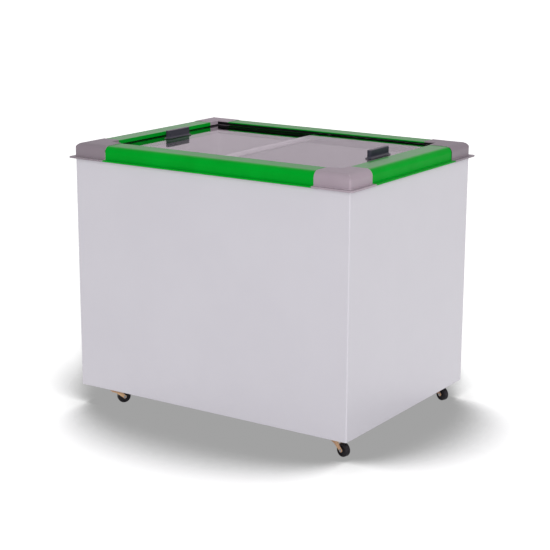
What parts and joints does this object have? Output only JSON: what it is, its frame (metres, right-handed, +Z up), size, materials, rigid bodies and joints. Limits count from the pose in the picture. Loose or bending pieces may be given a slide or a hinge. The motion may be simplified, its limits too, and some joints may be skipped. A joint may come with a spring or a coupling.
{
  "type": "chest freezer",
  "caption": "White chest freezer with a green and mauve top frame, two sliding clear glass lids with slate handles, and small swivel casters.",
  "frame": {"origin": "centre of the footprint of the whole freezer, on the floor", "axes": "+X to the right along the front, +Y from the front to the back, +Z up"},
  "size_m": [0.9818, 0.725, 0.8262],
  "materials": {
    "white_enamel": "smooth glossy powder coat",
    "galvanised_steel": "plain galvanised sheet",
    "foam": "cellular polyurethane foam",
    "tub_enamel": "smooth satin coat",
    "copper": "drawn copper tube",
    "green_plastic": "glossy extruded plastic",
    "mauve_plastic": "satin moulded plastic",
    "black_pile": "pile strip",
    "lid_glass": "clear toughened glass",
    "slate_plastic": "glossy moulded plastic",
    "adhesive_pad": "soft foam tape",
    "black_enamel": "satin black enamel",
    "black_rubber": "matt rubber",
    "bright_zinc": "zinc plated",
    "black_plastic": "fine-grained moulded plastic",
    "white_plastic": "plain moulded plastic",
    "yellow_zinc": "yellow passivated zinc on pressed steel",
    "wheel_plastic": "satin hard plastic"
  },
  "bodies": {
    "cabinet": {"cabinet_wrapper": "white_enamel", "rear_panel": "galvanised_steel", "base_pan": "galvanised_steel", "compressor_bay": "galvanised_steel", "insulation_foam": "foam", "inner_tub": "tub_enamel", "evaporator_coil": "copper", "condenser_coil": "copper", "front_rail": "green_plastic", "rear_rail": "green_plastic", "left_rail": "green_plastic", "right_rail": "green_plastic", "front_left_corner": "mauve_plastic", "front_right_corner": "mauve_plastic", "rear_left_corner": "mauve_plastic", "rear_right_corner": "mauve_plastic", "upper_track_seals": "black_pile", "lower_track_seals": "black_pile", "compressor_shell": "black_enamel", "compressor_feet": "black_enamel", "compressor_mounts": "black_rubber", "compressor_bolts": "bright_zinc", "start_relay_box": "black_plastic", "filter_dryer": "copper", "suction_tube": "copper", "discharge_tube": "copper", "side_grille": "black_plastic", "grille_screws": "bright_zinc", "thermostat_body": "white_plastic", "cable_inlet": "black_rubber", "drain_tube": "white_plastic", "drain_plug": "black_rubber", "drain_cap": "black_plastic", "rear_panel_screws": "bright_zinc", "caster_bolts": "bright_zinc", "front_left_plate": "yellow_zinc", "front_right_plate": "yellow_zinc", "rear_left_plate": "yellow_zinc", "rear_right_plate": "yellow_zinc"},
    "right_lid": {"right_glass": "lid_glass", "right_handle": "slate_plastic", "right_handle_pad": "adhesive_pad"},
    "left_lid": {"left_glass": "lid_glass", "left_handle": "slate_plastic", "left_handle_pad": "adhesive_pad"},
    "thermostat_dial": {"thermostat_knob": "black_plastic"},
    "front_left_caster": {"front_left_fork": "yellow_zinc", "front_left_axle": "bright_zinc"},
    "front_left_roller": {"front_left_wheel": "wheel_plastic"},
    "front_right_caster": {"front_right_fork": "yellow_zinc", "front_right_axle": "bright_zinc"},
    "front_right_roller": {"front_right_wheel": "wheel_plastic"},
    "rear_left_caster": {"rear_left_fork": "yellow_zinc", "rear_left_axle": "bright_zinc"},
    "rear_left_roller": {"rear_left_wheel": "wheel_plastic"},
    "rear_right_caster": {"rear_right_fork": "yellow_zinc", "rear_right_axle": "bright_zinc"},
    "rear_right_roller": {"rear_right_wheel": "wheel_plastic"}
  },
  "joints": [
    {"name": "right_lid_slide", "type": "slide", "parent": "cabinet", "child": "right_lid", "axis": [1, 0, 0], "range_m": [-0.31, 0]},
    {"name": "left_lid_slide", "type": "slide", "parent": "cabinet", "child": "left_lid", "axis": [1, 0, 0], "range_m": [0, 0.31]},
    {"name": "thermostat_turn", "type": "hinge", "parent": "cabinet", "child": "thermostat_dial", "pos_m": [-0.475, 0.038, 0.18], "axis": [-1, 0, 0], "range_deg": [0, 270]},
    {"name": "front_left_swivel", "type": "hinge", "parent": "cabinet", "child": "front_left_caster", "pos_m": [-0.386, -0.2945, 0.055], "axis": [0, 0, 1], "continuous": true},
    {"name": "front_left_spin", "type": "hinge", "parent": "front_left_caster", "child": "front_left_roller", "pos_m": [-0.3713, -0.27427, 0.02], "axis": [-0.809, 0.5878, 0], "continuous": true},
    {"name": "front_right_swivel", "type": "hinge", "parent": "cabinet", "child": "front_right_caster", "pos_m": [0.415, -0.2945, 0.055], "axis": [0, 0, 1], "continuous": true},
    {"name": "front_right_spin", "type": "hinge", "parent": "front_right_caster", "child": "front_right_roller", "pos_m": [0.43915, -0.30097, 0.02], "axis": [0.2588, 0.9659, 0], "continuous": true},
    {"name": "rear_left_swivel", "type": "hinge", "parent": "cabinet", "child": "rear_left_caster", "pos_m": [-0.386, 0.3055, 0.055], "axis": [0, 0, 1], "continuous": true},
    {"name": "rear_left_spin", "type": "hinge", "parent": "rear_left_caster", "child": "rear_left_roller", "pos_m": [-0.36155, 0.3107, 0.02], "axis": [-0.2079, 0.9781, 0], "continuous": true},
    {"name": "rear_right_swivel", "type": "hinge", "parent": "cabinet", "child": "rear_right_caster", "pos_m": [0.415, 0.3055, 0.055], "axis": [0, 0, 1], "continuous": true},
    {"name": "rear_right_spin", "type": "hinge", "parent": "rear_right_caster", "child": "rear_right_roller", "pos_m": [0.43849, 0.29695, 0.02], "axis": [0.342, 0.9397, 0], "continuous": true}
  ]
}
